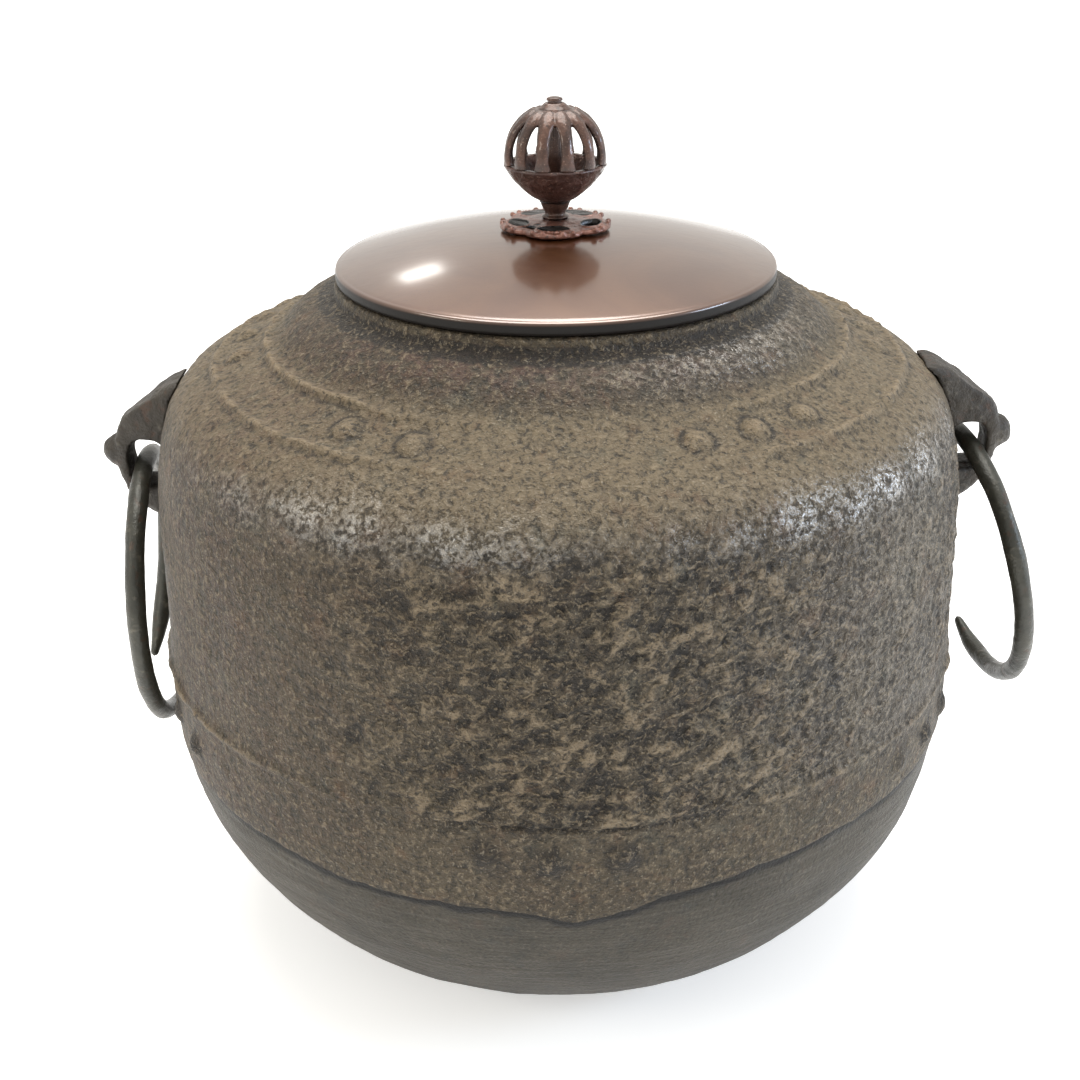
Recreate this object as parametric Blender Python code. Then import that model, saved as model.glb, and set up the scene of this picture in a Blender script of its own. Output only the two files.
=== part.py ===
"""Cast iron tea ceremony kettle: iron body and bottom, bronze lid with a pierced knob,
and two open iron rings that hang in loops on the shoulder.

Metres, +Z up. The origin is the centre of the flat base. The loops are at +X and -X.
"""

import math

import bmesh
import bpy
from mathutils import Matrix, Vector

# ---------------------------------------------------------------- driving dimensions
SEGMENTS = 44            # facets round every large turned piece
GAP = 0.0004             # clearance between pieces that touch
WALL = 0.0042            # iron wall of body and bottom

BASE_R = 0.050           # flat resting face
SEAM_Z = 0.070           # lower edge of the body, where the bottom is let in
LAP = 0.014              # how far the bottom's rim reaches up inside the body
BOTTOM_STEP = 0.0012     # the bottom lies this much inside the body's outer face
NECK_R = 0.0650
LIP_Z = 0.2053           # top of the neck
BORE_R = 0.0590          # inside of the mouth

# outer line of the body, seam to foot of the neck, as (radius, height)
BODY_LINE = (
    (0.1218, SEAM_Z), (0.1222, 0.088), (0.1213, 0.112), (0.1208, 0.136), (0.1199, 0.150),
    (0.1173, 0.1643), (0.1140, 0.1724), (0.1090, 0.1778), (0.1010, 0.1820), (0.0910, 0.1860),
    (0.0820, 0.1908), (0.0745, 0.1974), (NECK_R, 0.2016),
)
# outer line of the bottom, edge of the flat face to the seam
BOTTOM_LINE = (
    (BASE_R, 0.0), (0.066, 0.0020), (0.0805, 0.0070), (0.0930, 0.0160), (0.1030, 0.0268),
    (0.1110, 0.0385), (0.1163, 0.050), (0.1194, 0.061), (0.1218 - BOTTOM_STEP, SEAM_Z - GAP),
)
LINE_HEIGHTS = (0.1888, 0.1820, 0.0947)   # raised lines round the shoulder and the waist
RIDGE_WIDTH = 0.0030
RIDGE_HEIGHT = 0.0009

STUD_R = 0.0034
STUD_HEIGHT = 0.0014
# (height, azimuth of the first group from +X, azimuth between studs), six groups of three
STUD_BANDS = ((0.0838, 30.0, 8.6), (0.1852, 0.0, 10.5))

LUG_HALF_WIDTH = 0.0100      # at the body; it narrows outwards
LUG_TIP_HALF_WIDTH = 0.0052
LUG_ROOT_X = 0.108
LUG_TIP_X = 0.136
LUG_BALL = (0.1335, 0.1528)
LUG_BALL_R = 0.0053
EYE_CENTRE = (0.1243, 0.1503)
EYE_HALF = (0.0057, 0.0071)
EYE_SQUARENESS = 0.78       # 1 is an ellipse, smaller is squarer
EYE_THROAT = 0.0030         # half width of the straight middle; the eye flares beyond it
EYE_FLARE = 0.16            # how much the eye widens per metre across, on each side
EYE_OPENS_BELOW = -0.85     # share of the half width beyond which the eye opens to the body
EYE_OPEN_X = 0.114
TENON_R = 0.0032
TENON_DEPTH = 0.0022
TENON_LENGTH_OUTSIDE = 0.0035
TENON_HEIGHTS = (0.1655, 0.1375)
# outline of a lug seen from the front, as (distance from the axis, height)
LUG_OUTLINE = (
    (0.1060, 0.1755), (0.1125, 0.1764), (0.1165, 0.1746), (0.1200, 0.1722), (0.1235, 0.1694),
    (0.1278, 0.1665), (0.1314, 0.1638), (0.1332, 0.1608), (0.1338, 0.1570), (0.1340, 0.1500),
    (0.1332, 0.1455), (0.1316, 0.1415), (0.1294, 0.1378), (0.1268, 0.1352), (0.1235, 0.1336),
    (0.1195, 0.1326), (0.1140, 0.1322), (0.1120, 0.1540),
)
# the pair sits unevenly, as cast: (side, outward shift, upward shift)
LUG_PLACES = {"left": (-1, 0.0010, -0.0020), "right": (1, 0.0, 0.0020)}

RING_R = 0.0410          # centre line of an open ring
RING_WIRE_R = 0.0029
RING_TIP_R = 0.0012
RING_TAPER = 0.020       # length over which each end tapers
# per ring: hinge point in the eye, turn about Z, lean about the hinge, roll through the eye,
# where it starts and ends (degrees from the top, forwards), sideways offset of the ends
RINGS = {
    "left": {"hinge": (-0.1273, 0.0, 0.1462), "turn": 2.4, "lean": 2.9, "roll": 0.0,
             "ends": (-155.0, 180.0), "offset": 0.0125},
    "right": {"hinge": (0.1253, 0.0, 0.1518), "turn": 9.0, "lean": 10.8, "roll": 7.9,
              "ends": (-126.0, 208.0), "offset": 0.0010},
}

LID_R = 0.0642
LID_RIM = (0.2058, 0.2092)   # lower and upper edge of the rim
LID_APEX = 0.2190
LID_THICK = 0.0030
FLANGE_R = (0.0553, 0.0578)
FLANGE_Z = 0.1965
BORE_CLEAR_R = 0.0025        # hole for the spindle through lid and knob

SEAT_R = 0.0152
SEAT_TOP = 0.2214
SEAT_PETALS = 5
SEAT_FIRST_PETAL = -93.0
STEM_TOP = 0.2262
CUP_RIM = 0.2372
KNOB_R = 0.0144
KNOB_CENTRE = 0.2390
KNOB_WALL = 0.0022
CAGE_RIBS = 12
CAGE_TOP = 0.2516
CAGE_TOP_R = 0.0070
CAP_R = 0.0043
CAP_TOP = 0.2541
SPINDLE_R = 0.0021
SPINDLE_TOP = 0.2556
WASHER_R = 0.0062
WASHER_THICK = 0.0012

PLATE_SIZE = (0.026, 0.017, 0.0022)   # thin iron plates that make the kettle sing
PLATE_CIRCLE_R = 0.030
PLATE_COUNT = 3


# ---------------------------------------------------------------- helpers
def clear_scene():
    for item in list(bpy.data.objects):
        bpy.data.objects.remove(item, do_unlink=True)


def metal(name, colour, roughness, metallic):
    """A plain Principled material."""
    mat = bpy.data.materials.new(name)
    mat.use_nodes = True
    shader = mat.node_tree.nodes["Principled BSDF"]
    shader.inputs["Base Color"].default_value = (*colour, 1.0)
    shader.inputs["Roughness"].default_value = roughness
    shader.inputs["Metallic"].default_value = metallic
    return mat


def iron(name):
    return metal(name, (0.145, 0.125, 0.105), 0.62, 0.55)


def dark_iron(name):
    return metal(name, (0.060, 0.056, 0.050), 0.45, 0.80)


def bronze(name):
    return metal(name, (0.300, 0.225, 0.175), 0.33, 0.90)


def worn_bronze(name):
    return metal(name, (0.185, 0.135, 0.110), 0.42, 0.85)


def place(name, bm, mat=None, smooth=True):
    """Turn a bmesh into a named object in the scene."""
    bmesh.ops.recalc_face_normals(bm, faces=bm.faces)
    mesh = bpy.data.meshes.new(name)
    bm.to_mesh(mesh)
    bm.free()
    if smooth:
        mesh.shade_smooth()
        mesh.set_sharp_from_angle(angle=math.radians(35))
    if mat:
        mesh.materials.append(mat)
    item = bpy.data.objects.new(name, mesh)
    bpy.context.scene.collection.objects.link(item)
    return item


def tool(name, bm):
    """A cutter or a shape to be joined, left out of the assembly itself."""
    item = place(name, bm, smooth=False)
    item.hide_render = True
    item.display_type = "WIRE"
    return item


def combine(item, other, operation):
    step = item.modifiers.new(operation.lower() + "_" + other.name, "BOOLEAN")
    step.operation = operation
    step.object = other
    step.solver = "EXACT"


def spun(outline, segments=SEGMENTS):
    """Solid of revolution of an outline of (radius, height); one that starts and ends on
    the axis is left open there."""
    bm = bmesh.new()
    row = [bm.verts.new((r, 0.0, z)) for r, z in outline]
    pairs = list(zip(row, row[1:]))
    if outline[0][0] > 0 or outline[-1][0] > 0:
        pairs.append((row[-1], row[0]))
    edges = [bm.edges.new(pair) for pair in pairs]
    bmesh.ops.spin(bm, geom=row + edges, cent=(0, 0, 0), axis=(0, 0, 1),
                   angle=2 * math.pi, steps=segments, use_merge=True)
    bmesh.ops.remove_doubles(bm, verts=bm.verts, dist=1e-6)
    return bm


def curve_through(points, steps):
    """Catmull-Rom curve through the points, with `steps` stretches between neighbours."""
    pts = [Vector(p) for p in points]
    ends = [2 * pts[0] - pts[1]] + pts + [2 * pts[-1] - pts[-2]]
    out = []
    for a, b, c, d in zip(ends, ends[1:], ends[2:], ends[3:]):
        for k in range(steps):
            t = k / steps
            out.append(0.5 * ((2 * b) + (c - a) * t + (2 * a - 5 * b + 4 * c - d) * t * t
                              + (3 * b - a - 3 * c + d) * t ** 3))
    out.append(pts[-1])
    return out


def left_of(line, i):
    """Unit normal on the left of an open line at point i."""
    along = line[min(i + 1, len(line) - 1)] - line[max(i - 1, 0)]
    return Vector((-along.y, along.x)).normalized()


def inset(points):
    """Inner line of the wall behind an outer line that climbs."""
    line = [Vector(p) for p in points]
    return [p + left_of(line, i) * WALL for i, p in enumerate(line)]


def at_height(line, z):
    """Point on a line that climbs steadily, and its outward normal, at height z."""
    for i in range(len(line) - 1):
        low, high = line[i], line[i + 1]
        if low.y <= z <= high.y:
            point = low.lerp(high, (z - low.y) / (high.y - low.y))
            return point, -Vector((-(high - low).y, (high - low).x)).normalized()
    raise ValueError("height is off the line")


def body_line():
    return curve_through(BODY_LINE, 2)


def with_ridges(line):
    """The line with a low rounded ridge at each of LINE_HEIGHTS."""
    out = list(line)
    for z in LINE_HEIGHTS:
        top, normal = at_height(line, z)
        out = [p for p in out if (p - top).length > 0.62 * RIDGE_WIDTH]
        along = Vector((-normal.y, normal.x))
        for step, height in ((-0.5, 0.0), (-0.2, 1.0), (0.2, 1.0), (0.5, 0.0)):
            out.append(top + along * (step * RIDGE_WIDTH) + normal * (height * RIDGE_HEIGHT))
    return sorted(out, key=lambda p: p.y)


def spindle_hole(name):
    """Cutter for the hole that the spindle passes through."""
    return tool(name, spun(((0, 0.28), (BORE_CLEAR_R, 0.28), (BORE_CLEAR_R, 0.19), (0, 0.19)), 16))


# ---------------------------------------------------------------- iron body and bottom
def stud_tool():
    """All the low studs, as one shape to be joined to the body."""
    bm = bmesh.new()
    line = body_line()
    root = -0.0008
    dome = ((0, STUD_HEIGHT), (0.66 * STUD_R, 0.74 * STUD_HEIGHT), (STUD_R, 0), (STUD_R, root), (0, root))
    for height, first, between in STUD_BANDS:
        point, normal = at_height(line, height)
        for group in range(6):
            for k in (-1, 0, 1):
                turn = Matrix.Rotation(math.radians(first + 60.0 * group + between * k), 4, "Z")
                tilt = Vector((normal.x, 0, normal.y)).to_track_quat("Z", "Y").to_matrix().to_4x4()
                stud = spun(dome, 7)
                stud.transform(turn @ Matrix.Translation((point.x, 0, point.y)) @ tilt)
                mesh = bpy.data.meshes.new("stud")
                stud.to_mesh(mesh)
                stud.free()
                bm.from_mesh(mesh)
                bpy.data.meshes.remove(mesh)
    return tool("stud_tool", bm)


def tenon_tool(name, places, grow):
    """Short round tenons that root each lug in the body's wall, grown by `grow` all round."""
    bm = bmesh.new()
    for side, _, up in places:
        for z in TENON_HEIGHTS:
            surface = at_height(body_line(), z + up)[0].x
            depth = TENON_DEPTH + grow
            length = depth + TENON_LENGTH_OUTSIDE
            centre = side * (surface - depth + length / 2)
            pose = Matrix.Translation((centre, 0, z + up)) @ Matrix.Rotation(math.pi / 2, 4, "Y")
            bmesh.ops.create_cone(bm, cap_ends=True, segments=12, radius1=TENON_R + grow,
                                  radius2=TENON_R + grow, depth=length, matrix=pose)
    return tool(name, bm)


def kettle_body():
    outer = with_ridges(body_line())
    inner = inset(BODY_LINE[::2])
    inner = [p for p in inner if p.x > BORE_R + 0.001]
    inner[0].y = SEAM_Z
    outline = [(p.x, p.y) for p in outer]
    outline += [(NECK_R - 0.0002, LIP_Z - 0.0006), (NECK_R - 0.0009, LIP_Z), (BORE_R, LIP_Z)]
    outline += [(BORE_R, inner[-1].y - 0.0005)]
    outline += [(p.x, p.y) for p in reversed(inner)]
    item = place("kettle_body", spun(outline), iron("kettle_body"))
    combine(item, stud_tool(), "UNION")
    combine(item, tenon_tool("tenon_pocket_tool", LUG_PLACES.values(), GAP), "DIFFERENCE")
    return item


def kettle_bottom():
    """Separately cast bottom whose rim is let in behind the body's lower edge."""
    outer = [Vector(p) for p in BOTTOM_LINE]
    rim_r = BODY_LINE[0][0] - WALL - GAP
    inner_r = rim_r - WALL
    inner = [p for p in inset(BOTTOM_LINE[::2]) if p.x < inner_r]
    outline = [(0, 0)] + [(p.x, p.y) for p in outer]
    outline += [(rim_r, SEAM_Z - GAP), (rim_r, SEAM_Z + LAP), (inner_r, SEAM_Z + LAP)]
    outline += [(inner_r, SEAM_Z - 0.008)]
    outline += [(p.x, p.y) for p in reversed(inner)] + [(0, WALL)]
    return place("kettle_bottom", spun(outline), iron("kettle_bottom"))


def sound_plates():
    """Three thin iron plates lacquered to the inside of the bottom."""
    for k in range(PLATE_COUNT):
        bm = bmesh.new()
        bmesh.ops.create_cube(bm, size=1.0, matrix=Matrix.Diagonal((*PLATE_SIZE, 1.0)))
        corners = [e for e in bm.edges if abs(e.verts[0].co.z - e.verts[1].co.z) > 0.001]
        bmesh.ops.bevel(bm, geom=corners, offset=0.003, segments=2, profile=0.5, affect="EDGES")
        item = place(f"sound_plate_{k + 1}", bm, dark_iron(f"sound_plate_{k + 1}"))
        azimuth = 2 * math.pi * k / PLATE_COUNT + math.pi / 2
        height = WALL + GAP + PLATE_SIZE[2] / 2
        item.location = (PLATE_CIRCLE_R * math.cos(azimuth), PLATE_CIRCLE_R * math.sin(azimuth), height)
        item.rotation_euler = (0, 0, azimuth)


# ---------------------------------------------------------------- lugs
def lug_half_width(x):
    """Half width of a lug along Y at distance x from the kettle's axis."""
    t = (x - LUG_ROOT_X) / (LUG_TIP_X - LUG_ROOT_X)
    return LUG_HALF_WIDTH + (LUG_TIP_HALF_WIDTH - LUG_HALF_WIDTH) * t


def lug_blank(side, out, up):
    """The lug's outline as a plate that narrows outwards, with rounded rims."""
    bm = bmesh.new()
    faces = []
    for sign in (-1, 1):
        row = [bm.verts.new((side * (x + out), sign * lug_half_width(x), z + up)) for x, z in LUG_OUTLINE]
        faces.append(row)
    bm.faces.new(faces[0])
    bm.faces.new(reversed(faces[1]))
    count = len(LUG_OUTLINE)
    for i in range(count):
        j = (i + 1) % count
        bm.faces.new((faces[0][i], faces[0][j], faces[1][j], faces[1][i]))
    rims = [e for e in bm.edges if e.verts[0].co.y * e.verts[1].co.y > 0]
    bmesh.ops.bevel(bm, geom=rims, offset=0.0022, segments=2, profile=0.5, affect="EDGES",
                    clamp_overlap=True)
    return bm


def eye_tool(name, side, out, up):
    """Cutter for the eye, an upright rounded hole that opens against the body and flares
    to front and back, so that the bent wire can swing in it."""
    bm = bmesh.new()
    steps = 24
    reach = 0.020
    rows = []
    for y in (-reach, -EYE_THROAT, EYE_THROAT, reach):
        flare = EYE_FLARE * (abs(y) - EYE_THROAT)
        row = []
        for k in range(steps):
            a = 2 * math.pi * k / steps
            across, upward = (math.copysign(abs(v) ** EYE_SQUARENESS, v) for v in (math.cos(a), math.sin(a)))
            x = EYE_CENTRE[0] + (EYE_HALF[0] + flare) * across
            z = EYE_CENTRE[1] + (EYE_HALF[1] + flare) * upward
            if across < EYE_OPENS_BELOW:
                x = EYE_OPEN_X
            row.append(bm.verts.new((side * (x + out), y, z + up)))
        rows.append(row)
    bm.faces.new(rows[0])
    bm.faces.new(reversed(rows[-1]))
    for near, far in zip(rows, rows[1:]):
        for k in range(steps):
            j = (k + 1) % steps
            bm.faces.new((near[k], near[j], far[j], far[k]))
    return tool(name, bm)


def body_clearance_tool():
    """The body's outside, grown by the gap, that shapes the lugs' roots."""
    line = body_line()
    grown = [p - left_of(line, i) * GAP for i, p in enumerate(line)]
    outline = [(0, grown[0].y)] + [(p.x, p.y) for p in grown] + [(0, grown[-1].y)]
    return tool("body_clearance_tool", spun(outline))


def ball_tool(name, side, out, up):
    bm = bmesh.new()
    centre = Matrix.Translation((side * (LUG_BALL[0] + out), 0, LUG_BALL[1] + up))
    bmesh.ops.create_uvsphere(bm, u_segments=16, v_segments=10, radius=LUG_BALL_R, matrix=centre)
    return tool(name, bm)


def lugs():
    clearance = body_clearance_tool()
    for name, spot in LUG_PLACES.items():
        item = place(f"lug_{name}", lug_blank(*spot), dark_iron(f"lug_{name}"))
        combine(item, ball_tool(f"ball_{name}_tool", *spot), "UNION")
        combine(item, eye_tool(f"eye_{name}_tool", *spot), "DIFFERENCE")
        combine(item, clearance, "DIFFERENCE")
        combine(item, tenon_tool(f"tenon_{name}_tool", [spot], 0.0), "UNION")


# ---------------------------------------------------------------- open rings
def open_ring(name, spec):
    """A round wire bent to an open ring with tapered ends; its origin is on its hinge."""
    side = -1 if name == "left" else 1
    first, last = (math.radians(a) for a in spec["ends"])
    roll = math.radians(spec["roll"])
    steps = 48
    data = bpy.data.curves.new(f"ring_{name}", "CURVE")
    data.dimensions = "3D"
    data.bevel_depth = RING_WIRE_R
    data.bevel_resolution = 2
    data.use_fill_caps = True
    spline = data.splines.new("POLY")
    spline.points.add(steps)
    for k in range(steps + 1):
        a = first + (last - first) * k / steps
        sideways = spec["offset"] * (a - roll) / (2 * math.pi)
        y = -RING_R * (math.sin(a) - math.sin(roll))
        z = RING_R * (math.cos(a) - math.cos(roll))
        spline.points[k].co = (sideways, y, z, 1.0)
        from_end = RING_R * min(a - first, last - a)
        share = min(1.0, from_end / RING_TAPER)
        tip = RING_TIP_R / RING_WIRE_R
        spline.points[k].radius = tip + (1 - tip) * math.sin(share * math.pi / 2)
    data.materials.append(dark_iron(f"ring_{name}"))
    item = bpy.data.objects.new(f"ring_{name}", data)
    bpy.context.scene.collection.objects.link(item)
    lean = Matrix.Rotation(math.radians(-side * spec["lean"]), 4, "Y")
    turn = Matrix.Rotation(math.radians(spec["turn"]), 4, "Z")
    item.matrix_world = Matrix.Translation(spec["hinge"]) @ turn @ lean
    return item


# ---------------------------------------------------------------- lid
def dome_z(r, apex, edge_z):
    """Height of the lid's low dome at radius r."""
    return edge_z + (apex - edge_z) * (1 - (r / LID_R) ** 2)


def lid_plate():
    low, high = LID_RIM
    radii = [0.0, 0.016, 0.032, 0.046, 0.0615]
    top = [(r, dome_z(r, LID_APEX, high)) for r in radii]
    under = [(r, dome_z(r, LID_APEX - LID_THICK, high - LID_THICK)) for r in (0.0, 0.030, 0.055)]
    rim = [(LID_R - 0.0006, high - 0.0002), (LID_R, high - 0.0008), (LID_R, low + 0.0005),
           (LID_R - 0.0005, low), (0.0570, low)]
    outline = top + rim + list(reversed(under))
    item = place("lid_plate", spun(outline), bronze("lid_plate"))
    combine(item, spindle_hole("lid_hole_tool"), "DIFFERENCE")
    return item


def lid_flange():
    """Ring under the lid that keeps it centred in the mouth."""
    inner, outer = FLANGE_R
    top_in = dome_z(inner, LID_APEX - LID_THICK, LID_RIM[1] - LID_THICK) - GAP
    top = min(LID_RIM[0], top_in) - GAP
    outline = ((inner, FLANGE_Z), (outer - 0.0006, FLANGE_Z), (outer, FLANGE_Z + 0.0008),
               (outer, top), (inner, top))
    return place("lid_flange", spun(outline), bronze("lid_flange"))


# ---------------------------------------------------------------- knob
def knob_seat():
    """Pierced rosette of five petals between lid and stem."""
    bm = bmesh.new()
    base = LID_APEX + GAP
    steps = 40
    rows = []
    for level, grow in ((base, 0.94), (base + 0.0010, 1.0), (SEAT_TOP - 0.0005, 0.97), (SEAT_TOP, 0.90)):
        row = []
        for k in range(steps):
            a = 2 * math.pi * k / steps
            petal = abs(math.cos(SEAT_PETALS / 2 * (a - math.radians(SEAT_FIRST_PETAL))))
            r = SEAT_R * grow * (0.86 + 0.14 * petal ** 0.6)
            row.append(bm.verts.new((r * math.cos(a), r * math.sin(a), level)))
        rows.append(row)
    bm.faces.new(rows[0])
    bm.faces.new(reversed(rows[-1]))
    for low, high in zip(rows, rows[1:]):
        for k in range(steps):
            j = (k + 1) % steps
            bm.faces.new((low[k], low[j], high[j], high[k]))
    item = place("knob_seat", bm, worn_bronze("knob_seat"))
    holes = bmesh.new()
    for k in range(SEAT_PETALS):
        a = math.radians(SEAT_FIRST_PETAL) + 2 * math.pi * k / SEAT_PETALS
        where = Matrix.Translation((0.0098 * math.cos(a), 0.0098 * math.sin(a), SEAT_TOP))
        bmesh.ops.create_cone(holes, cap_ends=True, segments=12, radius1=0.0021, radius2=0.0021,
                              depth=0.012, matrix=where)
    combine(item, tool("petal_hole_tool", holes), "DIFFERENCE")
    combine(item, spindle_hole("seat_hole_tool"), "DIFFERENCE")
    return item


def knob_stem():
    low = SEAT_TOP + GAP
    top = STEM_TOP
    outline = ((BORE_CLEAR_R, low), (0.0047, low), (0.0050, low + 0.0006), (0.0046, low + 0.0012),
               (0.0034, low + 0.0022), (0.0033, top - 0.0010), (0.0044, top), (BORE_CLEAR_R, top))
    return place("knob_stem", spun(outline, 24), worn_bronze("knob_stem"))


def ball_radius(z, shrink=0.0):
    """Radius of the knob's ball at height z, on a ball smaller by `shrink`."""
    return math.sqrt(max((KNOB_R - shrink) ** 2 - (z - KNOB_CENTRE) ** 2, 0.0))


def knob_cup():
    """Rough lower half of the bud."""
    low = STEM_TOP + GAP
    levels = [low + 0.0012, 0.2292, 0.2318, 0.2345, CUP_RIM]
    outer = [(0.0052, low)] + [(ball_radius(z) + 0.0001, z) for z in levels]
    inner = [(ball_radius(z, KNOB_WALL), z) for z in reversed(levels[2:])]
    inner += [(0.0058, 0.2290), (BORE_CLEAR_R, 0.2290)]
    outline = [(BORE_CLEAR_R, low)] + outer + inner
    return place("knob_cup", spun(outline, 24), worn_bronze("knob_cup"))


def arch_tool():
    """Twelve pointed windows, cut radially through the cage."""
    bm = bmesh.new()
    sill = CUP_RIM + GAP + 0.0015
    half = 0.00205
    outline = ((-half, sill), (half, sill), (half * 0.98, 0.2422), (half * 0.62, 0.2454),
               (0.0, 0.2484), (-half * 0.62, 0.2454), (-half * 0.98, 0.2422))
    for k in range(CAGE_RIBS):
        turn = Matrix.Rotation(2 * math.pi * k / CAGE_RIBS, 4, "Z")
        near = [bm.verts.new(turn @ Vector((0.0062, 0.45 * y, z))) for y, z in outline]
        far = [bm.verts.new(turn @ Vector((0.0180, 1.25 * y, z))) for y, z in outline]
        bm.faces.new(near)
        bm.faces.new(reversed(far))
        count = len(outline)
        for i in range(count):
            j = (i + 1) % count
            bm.faces.new((near[i], near[j], far[j], far[i]))
    return tool("arch_tool", bm)


def knob_cage():
    """Upper half of the bud, a dome pierced by pointed windows between twelve ribs."""
    low = CUP_RIM + GAP
    levels = [low, 0.2400, 0.2432, 0.2464, 0.2494]
    outer = [(ball_radius(z), z) for z in levels] + [(CAGE_TOP_R - 0.0006, CAGE_TOP)]
    inner = [(ball_radius(z, KNOB_WALL), z) for z in reversed(levels[:-1])]
    inner = [(BORE_CLEAR_R, CAGE_TOP), (BORE_CLEAR_R, CAGE_TOP - 0.0019)] + inner
    item = place("knob_cage", spun(outer + inner, 48), worn_bronze("knob_cage"))
    combine(item, arch_tool(), "DIFFERENCE")
    return item


def knob_cap():
    low = CAGE_TOP + GAP
    outline = ((BORE_CLEAR_R, low), (CAP_R, low), (CAP_R, low + 0.0006), (0.0028, CAP_TOP),
               (BORE_CLEAR_R, CAP_TOP))
    return place("knob_cap", spun(outline, 24), worn_bronze("knob_cap"))


def washer_top():
    return dome_z(0.0, LID_APEX - LID_THICK, LID_RIM[1] - LID_THICK) - GAP


def knob_spindle():
    """Rod riveted at both ends that holds knob and lid together."""
    head = CAP_TOP + GAP
    under = washer_top() - WASHER_THICK - GAP
    outline = ((0, SPINDLE_TOP), (0.0013, SPINDLE_TOP - 0.0002), (0.0027, head + 0.0005),
               (0.0027, head), (SPINDLE_R, head), (SPINDLE_R, under), (0.0034, under),
               (0.0030, under - 0.0012), (0, under - 0.0017))
    return place("knob_spindle", spun(outline, 16), worn_bronze("knob_spindle"))


def lid_washer():
    top = washer_top()
    low = top - WASHER_THICK
    outline = ((BORE_CLEAR_R, low), (WASHER_R, low), (WASHER_R, top - 0.0003), (BORE_CLEAR_R, top - 0.0001))
    return place("lid_washer", spun(outline, 24), worn_bronze("lid_washer"))


# ---------------------------------------------------------------- assembly
clear_scene()
kettle_body()
kettle_bottom()
sound_plates()
lugs()
for ring_name, ring_spec in RINGS.items():
    open_ring(ring_name, ring_spec)
lid_plate()
lid_flange()
knob_seat()
knob_stem()
knob_cup()
knob_cage()
knob_cap()
knob_spindle()
lid_washer()
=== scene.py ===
"""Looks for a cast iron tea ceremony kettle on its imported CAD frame.

Lengths are in metres in the row frame: the origin is the centre of the flat base, +Z is up,
the front faces -Y and the loops are at +X and -X. An azimuth here is in degrees from the
front, positive towards +X.
"""
import math

import bmesh
import bpy
import numpy as np
from mathutils import Matrix, Vector, noise


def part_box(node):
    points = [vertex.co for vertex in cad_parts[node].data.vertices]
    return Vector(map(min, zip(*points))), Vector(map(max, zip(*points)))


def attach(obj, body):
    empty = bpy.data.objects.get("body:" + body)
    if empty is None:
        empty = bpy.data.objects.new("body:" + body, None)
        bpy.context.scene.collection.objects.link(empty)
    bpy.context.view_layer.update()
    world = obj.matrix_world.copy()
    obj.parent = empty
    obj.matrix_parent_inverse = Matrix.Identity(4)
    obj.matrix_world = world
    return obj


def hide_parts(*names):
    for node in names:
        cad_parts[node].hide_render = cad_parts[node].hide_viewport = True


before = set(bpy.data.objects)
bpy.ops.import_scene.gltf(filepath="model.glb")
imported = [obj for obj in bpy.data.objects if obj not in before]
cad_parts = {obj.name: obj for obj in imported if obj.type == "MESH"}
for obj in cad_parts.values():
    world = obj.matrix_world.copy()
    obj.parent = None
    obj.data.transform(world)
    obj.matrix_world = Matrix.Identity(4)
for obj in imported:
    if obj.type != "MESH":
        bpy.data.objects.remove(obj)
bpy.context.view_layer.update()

MM = 0.001

# ---------------------------------------------------------------- measures from the frame
BODY_LOW, BODY_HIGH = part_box("kettle_body")
SEAM_Z = BODY_LOW.z
LIP_Z = BODY_HIGH.z
LID_LOW, LID_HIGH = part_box("lid_plate")
LID_R = (LID_HIGH.x - LID_LOW.x) / 2
SEAT_LOW, SEAT_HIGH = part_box("knob_seat")
STEM_LOW, STEM_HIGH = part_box("knob_stem")
CUP_LOW, CUP_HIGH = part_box("knob_cup")
CAGE_LOW, CAGE_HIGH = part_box("knob_cage")
CAP_LOW, CAP_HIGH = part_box("knob_cap")
HEAD_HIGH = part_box("knob_spindle")[1]

# ---------------------------------------------------------------- shape of the iron, as in the CAD
WALL = 4.2 * MM
NECK_R = 65.0 * MM
BORE_R = 59.0 * MM
BODY_LINE = (
    (0.1216, 0.066), (0.1218, 0.070), (0.1222, 0.088), (0.1213, 0.112), (0.1208, 0.136), (0.1199, 0.150),
    (0.1173, 0.1643), (0.1140, 0.1724), (0.1090, 0.1778), (0.1010, 0.1820), (0.0910, 0.1860),
    (0.0820, 0.1908), (0.0745, 0.1974), (NECK_R, 0.2016),
)
BOTTOM_LINE = (
    (0.0005, 0.0), (0.025, 0.0), (0.050, 0.0), (0.066, 0.0020), (0.0805, 0.0070), (0.0930, 0.0160),
    (0.1030, 0.0268), (0.1110, 0.0385), (0.1163, 0.050), (0.1194, 0.061), (0.1205, 0.069),
    (0.1206, 0.0775),
)
SKIRT_IN_R = 0.1209      # inner face of the body's lower edge, which laps over the bottom
SKIRT_TOP_Z = 0.0780

# lower edge of the body, (azimuth, height): torn, lowest in front and higher on the right
EDGE = ((-180, 71.0), (-130, 69.5), (-60, 70.6), (-38, 70.4), (-30, 68.7), (-16, 68.5), (-5, 67.5),
        (-2, 66.6), (2, 64.8), (6, 66.6), (9, 68.0), (13, 70.4), (18, 71.8), (26, 74.0), (43, 75.4),
        (70, 74.6), (110, 73.0), (180, 71.0))
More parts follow.
